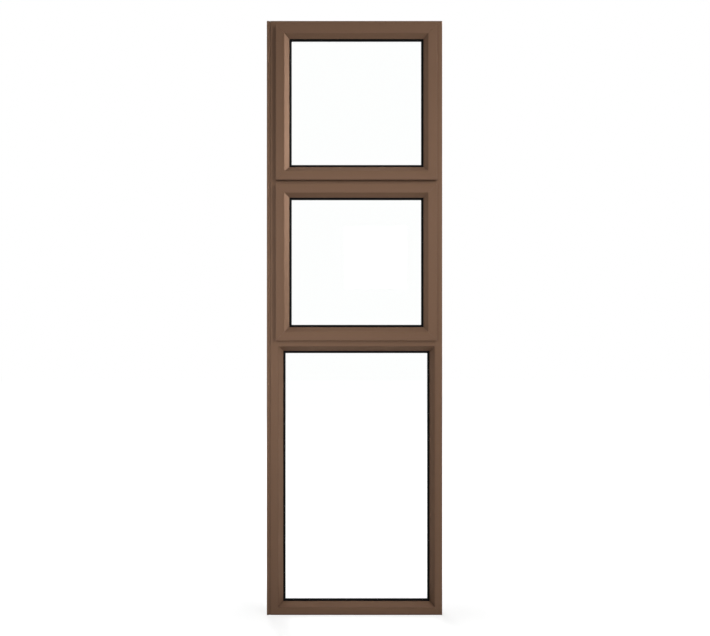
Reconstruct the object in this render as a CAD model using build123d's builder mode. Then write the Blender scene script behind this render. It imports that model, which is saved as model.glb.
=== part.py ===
from build123d import *
import os

# Door sidelight: two top-hung vents over a tall fixed pane, in a hollow aluminium frame.
# Millimetres. +X is to the right seen from outside, -Y is outside, +Y is the room, +Z is up.
# The origin is at the middle of the sill's underside, at mid-depth of the frame.

# Overall sizes
overall_width = 600.0
overall_height = 2032.0
frame_depth = 38.0

# Coupling strip on the door side, with a groove against the frame
coupling_width = 13.0
groove_width = 6.0
groove_depth = 2.0

# Frame extrusion: a box with a stop fin on its inner face
frame_face = 26.0
wall = 1.8
stop_height = 8.0
stop_thickness = 2.5
arris = 0.8

# Transoms, by their undersides above the sill
light_transom_low = 918.5
light_transom_face = 28.0
vent_transom_low = 1463.5
vent_transom_face = 30.5

# Sash extrusion: a tube with a flange over the frame and a bevel towards the glass
# On the hinge side, at the top, the tube sits closer to the frame
sash_proud = 12.0
sash_overlap = 7.5
sash_clearance = 3.0
hinge_clearance = 1.0
sash_flat = 30.0
sash_bevel_depth = 12.0

# Bevel and its thin edge, shared by the sashes and the fixed light's beads
bevel_width = 15.5
bead_bevel_depth = 16.5
nose = 2.0
bead_wall = 1.4
bead_land = 8.5
bead_edge = 3.0

# Glass, gaskets and seals
glass_thickness = 6.0
glass_edge = 5.0
gasket_thickness = 2.0
gasket_seat = 10.0
gasket_sight = 8.0
gasket_lip = 1.6
gasket_lip_flat = 1.5
gasket_inner_sight = 2.0
seal_width = 4.5
outer_seal_thickness = 3.0
outer_seal_edge = 2.5
inner_seal_thickness = 3.5
inner_seal_edge = 0.5

# Handle on each vent's bottom rail, on the room side
handle_base_length = 84.0
handle_base_height = 11.0
handle_base_depth = 8.0
handle_lever_length = 104.0
handle_lever_height = 11.5
handle_tip_height = 9.0
handle_lever_thickness = 6.0
handle_round = 1.5
tongue_width = 18.0
tongue_overlap = 6.0

# Fixing holes through the jambs, above and below mid-height
fixing_diameter = 6.5
fixing_reach_outer = 836.0
fixing_reach_inner = 280.0

# Clearances
mitre_gap = 0.3
fit_gap = 0.3

# Depth stations, front to back
frame_front = -frame_depth / 2
frame_back = frame_depth / 2
bead_nose_back = frame_front + bead_bevel_depth + nose
light_glass_front = bead_nose_back + gasket_thickness
stop_front = light_glass_front + glass_thickness + gasket_thickness
stop_back = stop_front + stop_thickness
sash_front = frame_front - sash_proud
sash_back = stop_front - inner_seal_thickness
flange_back = frame_front - outer_seal_thickness
sash_nose_back = sash_front + sash_bevel_depth + nose
vent_glass_front = sash_nose_back + gasket_thickness
sash_bead_front = vent_glass_front + glass_thickness + gasket_thickness

# Stations across and up
frame_left = -overall_width / 2 + coupling_width
frame_right = overall_width / 2
opening_left = frame_left + frame_face
opening_right = frame_right - frame_face
vent_left = opening_left - sash_overlap
vent_right = opening_right + sash_overlap
light_transom_high = light_transom_low + light_transom_face
vent_transom_high = vent_transom_low + vent_transom_face
sash_tube = sash_overlap + sash_clearance
hinge_overlap = sash_tube - hinge_clearance
fixing_heights = [
    overall_height / 2 + way * reach
    for reach in (fixing_reach_inner, fixing_reach_outer)
    for way in (-1, 1)
]

os.makedirs("parts", exist_ok=True)


def save(piece, name):
    """Labels one finished piece and writes it."""
    piece.label = name
    export_step(piece, f"parts/{name}.step")


# Section of jambs, head and sill: x from the outer face inward, y in depth
with BuildSketch() as frame_section:
    with BuildLine():
        Polyline(
            (0, frame_front),
            (frame_face, frame_front),
            (frame_face, stop_front),
            (frame_face + stop_height, stop_front),
            (frame_face + stop_height, stop_back),
            (frame_face, stop_back),
            (frame_face, frame_back),
            (0, frame_back),
            close=True,
        )
    make_face()
    with Locations((frame_face / 2, 0)):
        Rectangle(frame_face - 2 * wall, frame_depth - 2 * wall, mode=Mode.SUBTRACT)
    levels = frame_section.vertices().group_by(Axis.Y)
    fillet(levels[0] + levels[-1], arris)

# Section of the vents' stiles and rails: x from the sash's outer edge inward
with BuildSketch() as sash_section:
    with BuildLine():
        Polyline(
            (0, sash_front),
            (sash_flat, sash_front),
            (sash_flat + bevel_width, sash_nose_back - nose),
            (sash_flat + bevel_width, sash_nose_back),
            (sash_flat, sash_nose_back),
            (sash_flat, sash_back),
            (sash_tube, sash_back),
            (sash_tube, flange_back),
            (0, flange_back),
            close=True,
        )
    make_face()
    offset(amount=-wall, kind=Kind.INTERSECTION, mode=Mode.SUBTRACT)
    levels = sash_section.vertices().group_by(Axis.Y)
    fillet(levels[0] + levels[-1], arris)

# Section of the fixed light's outer beads: x from the frame's inner face inward
with BuildSketch() as light_bead_section:
    with BuildLine():
        Polyline(
            (0, frame_front),
            (bevel_width, bead_nose_back - nose),
            (bevel_width, bead_nose_back),
            (0, bead_nose_back),
            close=True,
        )
    make_face()
    offset(amount=-bead_wall, kind=Kind.INTERSECTION, mode=Mode.SUBTRACT)

# Section of the fixed light's room-side beads, which hook over the stop fin
with BuildSketch() as cover_bead_section:
    with BuildLine():
        Polyline(
            (0, stop_back + fit_gap),
            (stop_height + fit_gap, stop_back + fit_gap),
            (stop_height + fit_gap, stop_front),
            (bevel_width, stop_front),
            (bevel_width, stop_front + bead_edge),
            (bead_land, frame_back),
            (0, frame_back),
            close=True,
        )
    make_face()
    offset(amount=-bead_wall, kind=Kind.INTERSECTION, mode=Mode.SUBTRACT)

# Section of the vents' room-side beads: x from the sash's inner face inward
with BuildSketch() as sash_bead_section:
    with BuildLine():
        Polyline(
            (0, sash_bead_front),
            (bevel_width, sash_bead_front),
            (bevel_width, sash_bead_front + bead_edge),
            (bead_land, sash_back),
            (0, sash_back),
            close=True,
        )
    make_face()
    offset(amount=-bead_wall, kind=Kind.INTERSECTION, mode=Mode.SUBTRACT)


def gasket_section(nose_back):
    """Section of a wedge gasket between the bevel's thin edge and the glass."""
    seat = bevel_width - gasket_seat
    edge = bevel_width + fit_gap
    with BuildSketch() as section:
        with BuildLine():
            Polyline(
                (seat, nose_back),
                (edge, nose_back),
                (edge, nose_back - gasket_lip),
                (edge + gasket_lip_flat, nose_back - gasket_lip),
                (bevel_width + gasket_sight, nose_back + gasket_thickness),
                (seat, nose_back + gasket_thickness),
                close=True,
            )
        make_face()
    return section.sketch


def side_planes(left, right, low, high):
    """Plane and length of each side of a rectangle: plane x points inward, plane y into the depth."""
    across = (left + right) / 2
    up = (low + high) / 2
    return {
        "left": (Plane(origin=(left, 0, up), x_dir=(1, 0, 0), z_dir=(0, 0, 1)), high - low),
        "right": (Plane(origin=(right, 0, up), x_dir=(-1, 0, 0), z_dir=(0, 0, -1)), high - low),
        "bottom": (Plane(origin=(across, 0, low), x_dir=(0, 0, 1), z_dir=(-1, 0, 0)), right - left),
        "top": (Plane(origin=(across, 0, high), x_dir=(0, 0, -1), z_dir=(1, 0, 0)), right - left),
    }


def mitred_bar(section, plane, length, gap):
    """A bar of one section along one side, cut at 45 degrees at both ends."""
    with BuildPart() as bar:
        with BuildSketch(plane):
            add(section)
        extrude(amount=length / 2, both=True)
        for way in (1, -1):
            corner = plane.origin + plane.z_dir * way * (length / 2 - gap / 2)
            cut = Plane(origin=corner, z_dir=-(plane.x_dir + plane.z_dir * way))
            split(bisect_by=cut, keep=Keep.TOP)
    return bar.part


def mitred_bars(section, left, right, low, high, gap=mitre_gap):
    """Four mitred bars around a rectangle, by side."""
    planes = side_planes(left, right, low, high)
    return {side: mitred_bar(section, plane, length, gap) for side, (plane, length) in planes.items()}


def ring(bars):
    """One closed ring of bars that meet at their mitres."""
    with BuildPart() as joined:
        for bar in bars.values():
            add(bar)
    return joined.part


def band(left, right, low, high, width, back, thickness):
    """A flat rectangular ring of one width, with its back face at the given depth."""
    across = right - left
    up = high - low
    with BuildPart() as flat:
        with BuildSketch(Plane.XZ.offset(-back)):
            with Locations(((left + right) / 2, (low + high) / 2)):
                Rectangle(across, up)
                Rectangle(across - 2 * width, up - 2 * width, mode=Mode.SUBTRACT)
        extrude(amount=thickness)
    return flat.part


def pane(left, right, low, high, front):
    """A sheet of glass that fills a rectangle less its edge clearance."""
    with BuildPart() as sheet:
        with BuildSketch(Plane.XZ.offset(-front - glass_thickness)):
            with Locations(((left + right) / 2, (low + high) / 2)):
                Rectangle(right - left - 2 * glass_edge, high - low - 2 * glass_edge)
        extrude(amount=glass_thickness)
    return sheet.part


def drilled(piece):
    """A jamb or the coupling with the fixing holes bored through it from side to side."""
    with BuildPart() as bored:
        add(piece)
        with BuildSketch(Plane.YZ):
            with Locations([(0, height) for height in fixing_heights]):
                Circle(fixing_diameter / 2)
        ends = bored.part.bounding_box()
        extrude(amount=max(abs(ends.min.X), abs(ends.max.X)), both=True, mode=Mode.SUBTRACT)
    return bored.part


def transom(low, face):
    """A cross bar between the jambs, with a stop fin up and down, notched round the jambs' fins."""
    plane = Plane(origin=(opening_right, 0, low), x_dir=(0, 0, 1), z_dir=(-1, 0, 0))
    middle = (stop_front + stop_back) / 2
    with BuildPart() as bar:
        with BuildSketch(plane) as section:
            with Locations((face / 2, 0)):
                Rectangle(face, frame_depth)
            with Locations((face / 2, middle)):
                Rectangle(face + 2 * stop_height, stop_thickness)
            with Locations((face / 2, 0)):
                Rectangle(face - 2 * wall, frame_depth - 2 * wall, mode=Mode.SUBTRACT)
            levels = section.vertices().group_by(Axis.Y)
            fillet(levels[0] + levels[-1], arris)
        extrude(amount=opening_right - opening_left)
        with Locations((opening_left, middle, low + face / 2), (opening_right, middle, low + face / 2)):
            Box(
                2 * (stop_height + fit_gap),
                stop_thickness + 2 * fit_gap,
                face + 3 * stop_height,
                mode=Mode.SUBTRACT,
            )
    return bar.part


def coupling():
    """The strip that joins the frame to the door frame, hollow, with a groove beside the jamb."""
    left = -overall_width / 2
    with BuildPart() as strip:
        with BuildSketch() as section:
            with BuildLine():
                Polyline(
                    (left, frame_front),
                    (frame_left - groove_width, frame_front),
                    (frame_left - groove_width, frame_front + groove_depth),
                    (frame_left, frame_front + groove_depth),
                    (frame_left, frame_back),
                    (left, frame_back),
                    close=True,
                )
            make_face()
            offset(amount=-wall, kind=Kind.INTERSECTION, mode=Mode.SUBTRACT)
            levels = section.vertices().group_by(Axis.Y)
            fillet(levels[0] + levels[-1], arris)
        extrude(amount=overall_height)
    return strip.part


def handle(low):
    """A lever handle on a bottom rail's room side, its tongue turned down behind the frame's fin."""
    across = (vent_left + vent_right) / 2
    fin_top = low + sash_overlap + stop_height
    up = (fin_top + low + sash_flat) / 2
    base_back = sash_back + handle_base_depth
    lever_front = base_back + fit_gap
    lever_back = lever_front + handle_lever_thickness
    lever_reach = handle_lever_length - handle_lever_height / 2 - handle_tip_height / 2
    tongue_low = fin_top - tongue_overlap
    tongue_front = stop_back + fit_gap
    with BuildPart() as grip:
        with BuildSketch(Plane.XZ.offset(-base_back)):
            with Locations((across, up)):
                SlotOverall(handle_base_length, handle_base_height)
        extrude(amount=handle_base_depth)
        fillet(grip.faces().sort_by(Axis.Y)[-1].edges(), handle_round)
        with BuildSketch(Plane.XZ.offset(-lever_back)):
            with Locations((across, up)):
                Circle(handle_lever_height / 2)
            with Locations((across + lever_reach, up)):
                Circle(handle_tip_height / 2)
            make_hull()
        extrude(amount=handle_lever_thickness)
        fillet(grip.faces().sort_by(Axis.Y)[-1].edges(), handle_round)
        with BuildSketch(Plane.XZ.offset(-lever_front - handle_lever_thickness / 2)):
            with Locations((across, (tongue_low + up) / 2)):
                Rectangle(tongue_width, up - tongue_low)
        extrude(amount=handle_lever_thickness / 2)
        with BuildSketch(Plane.XZ.offset(-lever_front)):
            with Locations((across, fin_top - tongue_overlap / 2)):
                Rectangle(tongue_width, tongue_overlap)
        extrude(amount=lever_front - tongue_front)
    return grip.part


# Outer frame
frame_bars = mitred_bars(frame_section.sketch, frame_left, frame_right, 0, overall_height)
save(frame_bars["top"], "frame_head")
save(frame_bars["bottom"], "frame_sill")
save(drilled(frame_bars["left"]), "left_jamb")
save(drilled(frame_bars["right"]), "right_jamb")
save(transom(vent_transom_low, vent_transom_face), "vent_transom")
save(transom(light_transom_low, light_transom_face), "light_transom")
save(drilled(coupling()), "door_side_coupling")

# Two vents, each with its sash, pane, gaskets, room-side beads, seals and handle
sash_names = {"top": "top_rail", "bottom": "bottom_rail", "left": "left_stile", "right": "right_stile"}
vents = {
    "lower_vent": (light_transom_high - sash_overlap, vent_transom_low + hinge_overlap),
    "upper_vent": (vent_transom_high - sash_overlap, overall_height - frame_face + hinge_overlap),
}
for vent, (low, high) in vents.items():
    sash_bars = mitred_bars(sash_section.sketch, vent_left, vent_right, low, high)
    for side, bar in sash_bars.items():
        save(bar, f"{vent}_{sash_names[side]}")

    glazed = (vent_left + sash_flat, vent_right - sash_flat, low + sash_flat, high - sash_flat)
    save(pane(*glazed, vent_glass_front), f"{vent}_glass")
    gasket_bars = mitred_bars(gasket_section(sash_nose_back), *glazed, gap=0)
    save(ring(gasket_bars), f"{vent}_outer_gasket")
    seat = bevel_width - gasket_seat
    inner_gasket = band(
        glazed[0] + seat,
        glazed[1] - seat,
        glazed[2] + seat,
        glazed[3] - seat,
        gasket_seat + gasket_inner_sight,
        sash_bead_front,
        gasket_thickness,
    )
    save(inner_gasket, f"{vent}_inner_gasket")
    for side, bar in mitred_bars(sash_bead_section.sketch, *glazed).items():
        save(bar, f"{vent}_bead_{side}")

    inner_edge = sash_tube + inner_seal_edge
    with BuildPart() as seals:
        add(
            band(
                vent_left + outer_seal_edge,
                vent_right - outer_seal_edge,
                low + outer_seal_edge,
                high - outer_seal_edge,
                seal_width,
                frame_front,
                outer_seal_thickness,
            )
        )
        add(
            band(
                vent_left + inner_edge,
                vent_right - inner_edge,
                low + inner_edge,
                high - inner_edge,
                seal_width,
                stop_front,
                inner_seal_thickness,
            )
        )
    save(seals.part, f"{vent}_seals")
    save(handle(low), f"{vent}_handle")

# Fixed light, glazed from outside between bevelled beads and the stop fin
light = (opening_left, opening_right, frame_face, light_transom_low)
save(pane(*light, light_glass_front), "fixed_glass")
save(ring(mitred_bars(gasket_section(bead_nose_back), *light, gap=0)), "fixed_outer_gasket")
seat = bevel_width - gasket_seat
fixed_inner_gasket = band(
    light[0] + seat,
    light[1] - seat,
    light[2] + seat,
    light[3] - seat,
    gasket_seat + gasket_inner_sight,
    stop_front,
    gasket_thickness,
)
save(fixed_inner_gasket, "fixed_inner_gasket")
for side, bar in mitred_bars(light_bead_section.sketch, *light).items():
    save(bar, f"fixed_bead_{side}")
for side, bar in mitred_bars(cover_bead_section.sketch, *light).items():
    save(bar, f"fixed_inner_bead_{side}")
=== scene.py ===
"""The looks of a door sidelight: finishes, handle fasteners, studio light and camera."""
import math

import bmesh
import bpy
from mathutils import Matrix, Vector


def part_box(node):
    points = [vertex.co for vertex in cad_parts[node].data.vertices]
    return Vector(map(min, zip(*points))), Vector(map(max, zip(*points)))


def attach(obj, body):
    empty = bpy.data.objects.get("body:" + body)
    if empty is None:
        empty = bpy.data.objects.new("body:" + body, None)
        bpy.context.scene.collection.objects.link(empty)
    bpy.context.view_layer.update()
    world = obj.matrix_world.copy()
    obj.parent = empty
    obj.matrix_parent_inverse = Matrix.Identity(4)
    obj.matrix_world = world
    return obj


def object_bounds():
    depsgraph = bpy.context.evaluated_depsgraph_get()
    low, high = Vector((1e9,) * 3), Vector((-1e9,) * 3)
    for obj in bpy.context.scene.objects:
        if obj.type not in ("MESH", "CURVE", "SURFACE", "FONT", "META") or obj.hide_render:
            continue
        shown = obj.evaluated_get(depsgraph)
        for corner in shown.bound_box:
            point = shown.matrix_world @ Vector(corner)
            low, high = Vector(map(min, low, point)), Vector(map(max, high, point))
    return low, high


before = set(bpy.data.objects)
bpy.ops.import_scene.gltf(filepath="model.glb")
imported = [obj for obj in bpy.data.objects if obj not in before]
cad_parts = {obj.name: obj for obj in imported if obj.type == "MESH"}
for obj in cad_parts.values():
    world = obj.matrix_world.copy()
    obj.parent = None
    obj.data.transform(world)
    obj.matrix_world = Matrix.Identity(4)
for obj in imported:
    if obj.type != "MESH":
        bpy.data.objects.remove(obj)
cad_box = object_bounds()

# Sizes in metres

frame_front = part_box("left_jamb")[0].y
middle_height = (cad_box[0].z + cad_box[1].z) / 2
middle_across = (cad_box[0].x + cad_box[1].x) / 2

camera_distance = 2.40
view_width = 2.428
view_offset = 0.0017
sensor_width = 36.0

handle_base_half_length = 0.042
handle_base_half_height = 0.0055
handle_base_depth = 0.008
handle_lever_half_height = 0.00575

screw_sides = 24
screw_radius = 0.0031
screw_rise = 0.0011
screw_rim = 0.0004
screw_slot_reach = 0.0018
screw_slot_half = 0.00042
screw_slot_depth = 0.0007
pivot_sides = 32
pivot_radius = 0.0038
pivot_rise = 0.0012

grain_depth = 0.0002
# How far the painted shade in corners reaches
corner_shade_reach = 0.01
floor_half = 9.0

# Marks and patches per metre of a finish

clouds_per_metre = 5.0
gloss_patches_per_metre = 14.0
dust_patches_per_metre = 35.0
# Patches in the painted shade of corners
corner_shade_patches_per_metre = 40.0
# Spots in the painted highlight along edges
highlight_spots_per_metre = 60.0

# Levels of the studio, where 1 is white

ambient_level = 0.04
# Glow of the floor at the foot, lowered there, which paints a faint shade round the foot
floor_level_at_foot = 0.78

# Colours, linear

bronze = (0.156, 0.0882, 0.0540, 1.0)
handle_bronze = (0.126, 0.074, 0.049, 1.0)
rubber_black = (0.004, 0.004, 0.004, 1.0)
pane_clear = (0.985, 0.996, 0.990, 1.0)
pane_edge = (0.30, 0.62, 0.50, 1.0)
dust = (0.42, 0.38, 0.33, 1.0)
middle_grey = (0.5, 0.5, 0.5, 1.0)
studio_white = (1.0, 1.0, 1.0, 1.0)
floor_pale = (0.32, 0.32, 0.32, 1.0)

# Shader node helpers


def feed(tree, socket, value):
    """Links an output to a socket, or sets the socket's own value."""
    if isinstance(value, bpy.types.NodeSocket):
        tree.links.new(value, socket)
    else:
        socket.default_value = value


def place(tree, kind, settings=None, **inputs):
    """Adds a node with its settings, and feeds its inputs by name, with _ for a space."""
    node = tree.nodes.new(kind)
    for key, value in (settings or {}).items():
        setattr(node, key, value)
    for key, value in inputs.items():
        feed(tree, node.inputs[key.replace("_", " ")], value)
    return node


def maths(tree, operation, first, second=0.0, third=0.0, clamp=False):
    """The result of one Math node."""
    node = place(tree, "ShaderNodeMath", {"operation": operation, "use_clamp": clamp})
    for socket, value in zip(node.inputs, (first, second, third)):
        feed(tree, socket, value)
    return node.outputs[0]


def scaled_colour(tree, colour, factor):
    """A colour made lighter or darker by a factor."""
    node = place(tree, "ShaderNodeVectorMath", {"operation": "SCALE"}, Scale=factor)
    feed(tree, node.inputs[0], colour)
    return node.outputs[0]


def mixed_colour(tree, factor, first, second):
    """The first colour at 0 and the second at 1."""
    node = place(tree, "ShaderNodeMix", {"data_type": "RGBA"})
    feed(tree, node.inputs["Factor"], factor)
    feed(tree, node.inputs[6], first)
    feed(tree, node.inputs[7], second)
    return node.outputs[2]


def noise(tree, scale, detail=2.0, vector=None):
    """Noise over the object's own metres, from 0 to 1."""
    if vector is None:
        vector = place(tree, "ShaderNodeTexCoord").outputs["Object"]
    node = place(tree, "ShaderNodeTexNoise", Vector=vector, Scale=scale, Detail=detail)
    return node.outputs["Fac"]


def centred_noise(tree, scale, detail):
    """Noise from minus a half to a half."""
    return maths(tree, "SUBTRACT", noise(tree, scale, detail), 0.5)


def stretched(tree, across, deep, up):
    """Object coordinates with each axis scaled by its own amount."""
    coordinates = place(tree, "ShaderNodeTexCoord").outputs["Object"]
    node = place(tree, "ShaderNodeMapping", Vector=coordinates)
    node.inputs["Scale"].default_value = (across, deep, up)
    return node.outputs["Vector"]


def ranged(tree, value, low, high, new_low, new_high):
    """A value moved smoothly from one range to another."""
    node = place(tree, "ShaderNodeMapRange", {"interpolation_type": "SMOOTHSTEP"}, Value=value)
    node.inputs["From Min"].default_value = low
    node.inputs["From Max"].default_value = high
    node.inputs["To Min"].default_value = new_low
    node.inputs["To Max"].default_value = new_high
    return node.outputs["Result"]


def surface_normal(tree):
    """The way that the surface faces."""
    return place(tree, "ShaderNodeNewGeometry").outputs["Normal"]


COLOUR, VALUE, NORMAL = "NodeSocketColor", "NodeSocketFloat", "NodeSocketVector"


def new_group(name, inputs, outputs):
    """An empty node group with named sockets: the tree, what comes in and what goes out."""
    tree = bpy.data.node_groups.new(name, "ShaderNodeTree")
    for label, kind, value in inputs:
        socket = tree.interface.new_socket(name=label, in_out="INPUT", socket_type=kind)
        socket.default_value = value
    for label, kind in outputs:
        tree.interface.new_socket(name=label, in_out="OUTPUT", socket_type=kind)
    start = tree.nodes.new("NodeGroupInput")
    end = tree.nodes.new("NodeGroupOutput")
    return tree, start.outputs, end.inputs


def use_group(tree, group, **inputs):
    """Places a node group in a material with its own values."""
    node = tree.nodes.new("ShaderNodeGroup")
    node.node_tree = group
    for key, value in inputs.items():
        feed(tree, node.inputs[key.replace("_", " ")], value)
    return node.outputs


# Effects that the finishes share


def make_surface_grain():
    """Slow clouding and fine grain, as in powder coat or rubber."""
    tree, given, result = new_group(
        "surface_grain",
        [
            ("Colour", COLOUR, middle_grey),
            ("Roughness", VALUE, 0.5),
            ("Clouding", VALUE, 0.06),
            ("Speckle", VALUE, 0.05),
            ("Grains per metre", VALUE, 900.0),
        ],
        [("Colour", COLOUR), ("Roughness", VALUE), ("Height", VALUE)],
    )
    patch_share = 0.12
    speck_share = 0.10
    cloud = centred_noise(tree, clouds_per_metre, detail=3.0)
    grain = noise(tree, given["Grains per metre"], detail=2.0)
    speck = maths(tree, "SUBTRACT", grain, 0.5)
    shade = maths(tree, "MULTIPLY_ADD", cloud, given["Clouding"], 1.0)
    shade = maths(tree, "ADD", shade, maths(tree, "MULTIPLY", speck, given["Speckle"]))
    feed(tree, result["Colour"], scaled_colour(tree, given["Colour"], shade))
    patch = centred_noise(tree, gloss_patches_per_metre, detail=4.0)
    rough = maths(tree, "ADD", given["Roughness"], maths(tree, "MULTIPLY", patch, patch_share))
    rough = maths(tree, "ADD", rough, maths(tree, "MULTIPLY", speck, speck_share))
    feed(tree, result["Roughness"], rough)
    feed(tree, result["Height"], grain)
    return tree


def make_soft_arris_painted_highlight():
    """Edges softened to a small radius in their shading, and a painted highlight: the finish a little lighter
    along them, in uneven spots.
    """
    tree, given, result = new_group(
        "soft_arris_painted_highlight",
        [("Colour", COLOUR, middle_grey), ("Radius", VALUE, 0.0005), ("Lift", VALUE, 0.15)],
        [("Colour", COLOUR), ("Normal", NORMAL)],
    )
    edge_contrast = 5.0
    bevel = place(tree, "ShaderNodeBevel", {"samples": 4}, Radius=given["Radius"])
    along = place(tree, "ShaderNodeVectorMath", {"operation": "DOT_PRODUCT"})
    feed(tree, along.inputs[0], bevel.outputs["Normal"])
    feed(tree, along.inputs[1], surface_normal(tree))
    turned = maths(tree, "SUBTRACT", 1.0, along.outputs["Value"])
    edge = maths(tree, "MULTIPLY", turned, edge_contrast, clamp=True)
    spots = noise(tree, highlight_spots_per_metre, detail=4.0)
    uneven = ranged(tree, spots, low=0.3, high=0.7, new_low=0.35, new_high=1.0)
    edge = maths(tree, "MULTIPLY", edge, uneven)
    # Painted highlight: the colour lifted along the edges
    edge_highlight = maths(tree, "ADD", maths(tree, "MULTIPLY", edge, given["Lift"]), 1.0)
    feed(tree, result["Colour"], scaled_colour(tree, given["Colour"], edge_highlight))
    feed(tree, result["Normal"], bevel.outputs["Normal"])
    return tree


def make_settled_dust():
    """A thin, patchy film of dust on faces that look up."""
    tree, given, result = new_group(
        "settled_dust",
        [("Colour", COLOUR, middle_grey), ("Roughness", VALUE, 0.5), ("Amount", VALUE, 0.2)],
        [("Colour", COLOUR), ("Roughness", VALUE)],
    )
    dulling = 0.3
    upward = place(tree, "ShaderNodeSeparateXYZ", Vector=surface_normal(tree)).outputs["Z"]
    level = ranged(tree, upward, low=0.70, high=0.98, new_low=0.0, new_high=1.0)
    spots = noise(tree, dust_patches_per_metre, detail=5.0)
    patchy = ranged(tree, spots, low=0.35, high=0.70, new_low=0.25, new_high=1.0)
    film = maths(tree, "MULTIPLY", level, patchy)
    film = maths(tree, "MULTIPLY", film, given["Amount"], clamp=True)
    feed(tree, result["Colour"], mixed_colour(tree, film, given["Colour"], dust))
    rough = maths(tree, "ADD", given["Roughness"], maths(tree, "MULTIPLY", film, dulling))
    feed(tree, result["Roughness"], rough)
    return tree


def make_painted_corner_shade():
    """Painted shade: colour a little darker in inner corners and gaps, where shade falls, made a little
    patchy.
    """
    tree, given, result = new_group(
        "painted_corner_shade",
        [("Colour", COLOUR, middle_grey), ("Reach", VALUE, corner_shade_reach), ("Amount", VALUE, 0.4)],
        [("Colour", COLOUR)],
    )
    # Painted shade: darker where nearby faces close the surface in
    open_to_air = place(tree, "ShaderNodeAmbientOcclusion", {"samples": 6}, Distance=given["Reach"])
    closed = maths(tree, "SUBTRACT", 1.0, open_to_air.outputs["AO"])
    spots = noise(tree, corner_shade_patches_per_metre, detail=4.0)
    patchy = ranged(tree, spots, low=0.25, high=0.75, new_low=0.7, new_high=1.0)
    corner_shade = maths(tree, "MULTIPLY", maths(tree, "MULTIPLY", closed, patchy), given["Amount"])
    left = maths(tree, "SUBTRACT", 1.0, corner_shade, clamp=True)
    feed(tree, result["Colour"], scaled_colour(tree, given["Colour"], left))
    return tree


surface_grain = make_surface_grain()
painted_corner_shade = make_painted_corner_shade()
soft_arris_painted_highlight = make_soft_arris_painted_highlight()
settled_dust = make_settled_dust()

# Finishes


def new_material(name):
    """A material with an empty node tree and its output's surface socket."""
    material = bpy.data.materials.new(name)
    material.use_nodes = True
    tree = material.node_tree
    tree.nodes.clear()
    surface = tree.nodes.new("ShaderNodeOutputMaterial").inputs["Surface"]
    return material, tree, surface


def coated(name, colour, *, metal, roughness, gloss, clouding, speckle, grains, peel,
           arris, edge_highlight, corner_shade, dusting):
    """A finish with grain, painted shade in corners, softened edges with a painted highlight along them, and
    dust, for coated metal and for rubber.
    """
    material, tree, surface = new_material(name)
    grain = use_group(tree, surface_grain, Colour=colour, Roughness=roughness, Clouding=clouding,
                      Speckle=speckle, Grains_per_metre=grains)
    # Painted shade in inner corners and gaps
    corner_shaded = use_group(tree, painted_corner_shade, Colour=grain["Colour"], Amount=corner_shade)
    # Edges softened in shading, with a painted highlight along them
    edge = use_group(tree, soft_arris_painted_highlight, Colour=corner_shaded["Colour"], Radius=arris, Lift=edge_highlight)
    film = use_group(tree, settled_dust, Colour=edge["Colour"], Roughness=grain["Roughness"], Amount=dusting)
    bump = place(tree, "ShaderNodeBump", Height=grain["Height"], Normal=edge["Normal"])
    bump.inputs["Strength"].default_value = peel
    bump.inputs["Distance"].default_value = grain_depth
    shader = place(tree, "ShaderNodeBsdfPrincipled", Base_Color=film["Colour"],
                   Roughness=film["Roughness"], Normal=bump.outputs["Normal"])
    shader.inputs["Metallic"].default_value = metal
    shader.inputs["Specular IOR Level"].default_value = gloss
    feed(tree, surface, shader.outputs["BSDF"])
    return material


def glazed(name):
    """Clear float glass: green at its cut edges, with faint wipe marks, and letting lamplight through."""
    material, tree, surface = new_material(name)
    depth = place(tree, "ShaderNodeSeparateXYZ", Vector=surface_normal(tree)).outputs["Y"]
    face = ranged(tree, maths(tree, "ABSOLUTE", depth), low=0.4, high=0.6, new_low=0.0, new_high=1.0)
    tint = mixed_colour(tree, face, pane_edge, pane_clear)
    wipes = noise(tree, 1.0, detail=4.0, vector=stretched(tree, across=9.0, deep=1.0, up=3.0))
    rough = ranged(tree, wipes, low=0.45, high=0.75, new_low=0.0, new_high=0.025)
    shader = place(tree, "ShaderNodeBsdfPrincipled", Base_Color=tint, Roughness=rough)
    shader.inputs["IOR"].default_value = 1.5
    shader.inputs["Transmission Weight"].default_value = 1.0
    clear = place(tree, "ShaderNodeBsdfTransparent")
    both = place(tree, "ShaderNodeMixShader")
    feed(tree, both.inputs[0], place(tree, "ShaderNodeLightPath").outputs["Is Shadow Ray"])
    feed(tree, both.inputs[1], shader.outputs["BSDF"])
    feed(tree, both.inputs[2], clear.outputs["BSDF"])
    feed(tree, surface, both.outputs["Shader"])
    return material


finishes = {
    # Each finish sets how strong its painted shade in corners and its painted highlight along edges are
    "bronze_coat": coated(
        "bronze_powder_coat", bronze,
        metal=0.35, roughness=0.45, gloss=0.18,
        clouding=0.07, speckle=0.06, grains=900.0, peel=0.10,
        arris=0.0005, edge_highlight=0.06, corner_shade=0.5, dusting=0.10,
    ),
    "handle_bronze": coated(
        "handle_coat", handle_bronze,
        metal=0.5, roughness=0.36, gloss=0.35,
        clouding=0.10, speckle=0.04, grains=700.0, peel=0.07,
        arris=0.0006, edge_highlight=0.40, corner_shade=0.4, dusting=0.08,
    ),
    "black_rubber": coated(
        "black_glazing_rubber", rubber_black,
        metal=0.0, roughness=0.62, gloss=0.04,
        clouding=0.25, speckle=0.30, grains=1400.0, peel=0.18,
        arris=0.0003, edge_highlight=0.6, corner_shade=0.0, dusting=0.02,
    ),
    "clear_glass": glazed("clear_float_glass"),
}

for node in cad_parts.values():
    for number, old in enumerate(node.data.materials):
        node.data.materials[number] = finishes[old.name]

# Handle fasteners


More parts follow.
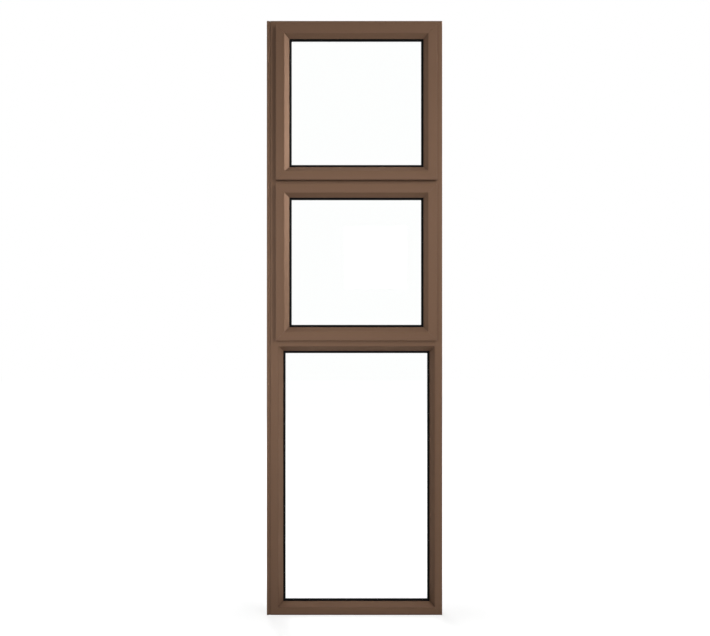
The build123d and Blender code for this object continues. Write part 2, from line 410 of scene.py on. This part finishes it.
def new_piece(name, mesh_maker, finish):
    """A piece of the object, with its mesh from bmesh code and one of the finishes."""
    mesh = bpy.data.meshes.new(name)
    build = bmesh.new()
    mesh_maker(build)
    bmesh.ops.recalc_face_normals(build, faces=build.faces)
    build.to_mesh(mesh)
    build.free()
    mesh.materials.append(finishes[finish])
    piece = bpy.data.objects.new(name, mesh)
    bpy.context.scene.collection.objects.link(piece)
    return piece


def ring_points(radius, rise, count):
    """Points round a circle in the X Z plane, rise metres towards the room."""
    turns = (2 * math.pi * step / count for step in range(count))
    return [Vector((radius * math.cos(turn), rise, radius * math.sin(turn))) for turn in turns]


def cross_points(reach, half, rise):
    """Points round a cross in the X Z plane, evenly enough spaced to join to a ring of 24."""
    quarter = [(reach, -half), (reach, 0.0), (reach, half), (half * 2, half), (half, half), (half, half * 2)]
    points = []
    for turn in range(4):
        cosine = round(math.cos(turn * math.pi / 2))
        sine = round(math.sin(turn * math.pi / 2))
        for across, up in quarter:
            points.append(Vector((cosine * across - sine * up, rise, sine * across + cosine * up)))
    return points[1:] + points[:1]


def join_loops(build, loops):
    """Quads between loops of equal count, with a face over the first and last."""
    rows = [[build.verts.new(point) for point in loop] for loop in loops]
    count = len(rows[0])
    for lower, upper in zip(rows, rows[1:]):
        for step in range(count):
            following = (step + 1) % count
            build.faces.new((lower[step], lower[following], upper[following], upper[step]))
    build.faces.new(rows[0])
    build.faces.new(rows[-1])


def screw_head(build):
    """A low domed head with a cross recess."""
    join_loops(build, [
        ring_points(screw_radius, 0.0, screw_sides),
        ring_points(screw_radius, screw_rim, screw_sides),
        ring_points(screw_radius * 0.93, screw_rim + screw_rise * 0.30, screw_sides),
        ring_points(screw_radius * 0.80, screw_rim + screw_rise * 0.50, screw_sides),
        cross_points(screw_slot_reach, screw_slot_half, screw_rise),
        cross_points(screw_slot_reach * 0.92, screw_slot_half * 0.85, screw_rise - screw_slot_depth),
    ])


def pivot_cap(build):
    """A domed rivet head with a small step round its foot."""
    foot = [(1.0, 0.0), (1.0, 0.25), (0.90, 0.35), (0.82, 0.35)]
    dome = [(0.78, 0.60), (0.62, 0.82), (0.40, 0.95), (0.16, 1.0)]
    join_loops(build, [
        ring_points(pivot_radius * across, pivot_rise * up, pivot_sides) for across, up in foot + dome
    ])


def fit_handle_fasteners(vent):
    """Puts the screw and the pivot cap on a vent's handle."""
    low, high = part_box(f"{vent}_handle")
    base_back = low.y + handle_base_depth
    middle = high.z - handle_lever_half_height
    places = {
        "screw": (screw_head, Vector((low.x + handle_base_half_height, base_back, middle))),
        "pivot_cap": (pivot_cap, Vector((low.x + handle_base_half_length, high.y, middle))),
    }
    for label, (maker, spot) in places.items():
        piece = new_piece(f"{vent}_handle_{label}", maker, "handle_bronze")
        piece.location = spot
        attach(piece, "root")


for vent in ("upper_vent", "lower_vent"):
    fit_handle_fasteners(vent)

# Studio


def seen_rays(tree):
    """1 for rays from the camera, in reflections and through glass, and 0 for light on the object."""
    rays = place(tree, "ShaderNodeLightPath").outputs
    seen = maths(tree, "MAXIMUM", rays["Is Camera Ray"], rays["Is Glossy Ray"])
    return maths(tree, "MAXIMUM", seen, rays["Is Transmission Ray"])


def floor_material():
    """Pale matt floor that reads as white, with a glow that fades at the foot: a painted shade round the
    foot, in which the real shadow also shows.
    """
    material, tree, surface = new_material("studio_floor")
    matt = place(tree, "ShaderNodeBsdfDiffuse", Color=floor_pale)
    away = place(tree, "ShaderNodeVectorMath", {"operation": "LENGTH"})
    feed(tree, away.inputs[0], stretched(tree, across=0.5, deep=1.0, up=1.0))
    # Painted shade: the glow is lower near the foot
    level = ranged(tree, away.outputs["Value"], low=0.08, high=0.45,
                   new_low=floor_level_at_foot, new_high=1.0)
    strength = maths(tree, "MULTIPLY", seen_rays(tree), level)
    glow = place(tree, "ShaderNodeEmission", Color=studio_white, Strength=strength)
    both = place(tree, "ShaderNodeAddShader")
    feed(tree, both.inputs[0], matt.outputs["BSDF"])
    feed(tree, both.inputs[1], glow.outputs["Emission"])
    feed(tree, surface, both.outputs["Shader"])
    return material


def lay_floor():
    """A wide floor under the sill."""
    mesh = bpy.data.meshes.new("studio_floor")
    corners = [(-floor_half, -floor_half, 0.0), (floor_half, -floor_half, 0.0),
               (floor_half, floor_half, 0.0), (-floor_half, floor_half, 0.0)]
    mesh.from_pydata(corners, [], [(0, 1, 2, 3)])
    mesh.materials.append(floor_material())
    floor = bpy.data.objects.new("studio_floor", mesh)
    bpy.context.scene.collection.objects.link(floor)


def light_world(ambient):
    """White where it is seen, and a soft level of light elsewhere."""
    world = bpy.data.worlds.new("studio_world")
    bpy.context.scene.world = world
    world.use_nodes = True
    tree = world.node_tree
    tree.nodes.clear()
    strength = maths(tree, "MULTIPLY_ADD", seen_rays(tree), 1.0 - ambient, ambient)
    back = place(tree, "ShaderNodeBackground", Color=studio_white, Strength=strength)
    out = place(tree, "ShaderNodeOutputWorld")
    feed(tree, out.inputs["Surface"], back.outputs["Background"])


def hang_lamp(name, spot, aim, side, power, spread):
    """A soft square lamp turned to a point on the object, with its spread in degrees."""
    lamp = bpy.data.lights.new(name, "AREA")
    lamp.shape = "SQUARE"
    lamp.size = side
    lamp.energy = power
    lamp.spread = math.radians(spread)
    holder = bpy.data.objects.new(name, lamp)
    holder.location = spot
    holder.rotation_mode = "QUATERNION"
    holder.rotation_quaternion = (Vector(aim) - Vector(spot)).to_track_quat("-Z", "Y")
    holder.visible_camera = False
    holder.visible_transmission = False
    bpy.context.scene.collection.objects.link(holder)


def set_camera():
    """The photograph's view: straight on, at half height."""
    lens = bpy.data.cameras.new("photo_camera")
    lens.sensor_width = sensor_width
    lens.lens = sensor_width * camera_distance / view_width
    lens.clip_start = 0.05
    lens.clip_end = 60.0
    camera = bpy.data.objects.new("photo_camera", lens)
    camera.location = (middle_across + view_offset, frame_front - camera_distance, middle_height)
    camera.rotation_euler = (math.pi / 2, 0.0, 0.0)
    bpy.context.scene.collection.objects.link(camera)
    bpy.context.scene.camera = camera


lay_floor()
light_world(ambient_level)
hang_lamp("high_key_lamp", (4.15, -3.90, 3.60), (-0.27, 0.0, 1.60), side=0.6, power=11.0, spread=40)
hang_lamp("low_key_lamp", (4.15, -3.90, 0.70), (-0.27, 0.0, 0.60), side=0.6, power=2.5, spread=30)
hang_lamp("side_lamp", (1.90, -0.75, 2.30), (0.0, 0.0, 1.70), side=0.6, power=5.1, spread=170)
hang_lamp("level_side_lamp", (1.90, -0.55, 1.75), (-0.25, 0.0, 1.70), side=0.4, power=0.85, spread=50)
hang_lamp("front_lamp", (0.20, -4.40, 1.60), (0.0, 0.0, 1.35), side=0.6, power=0.42, spread=35)
hang_lamp("left_front_lamp", (-1.80, -4.00, 1.60), (-0.10, 0.0, 1.35), side=0.6, power=0.78, spread=35)
hang_lamp("low_left_front_lamp", (-1.80, -4.00, 0.50), (-0.10, 0.0, 0.50), side=0.6, power=0.6, spread=25)
hang_lamp("left_side_lamp", (-2.30, -0.30, 1.55), (0.15, 0.0, 1.45), side=0.5, power=0.43, spread=60)
hang_lamp("room_lamp", (-1.40, 3.60, 3.20), (0.0, 0.0, 1.00), side=1.2, power=95.0, spread=170)
set_camera()
bpy.context.scene.view_settings.view_transform = "Standard"
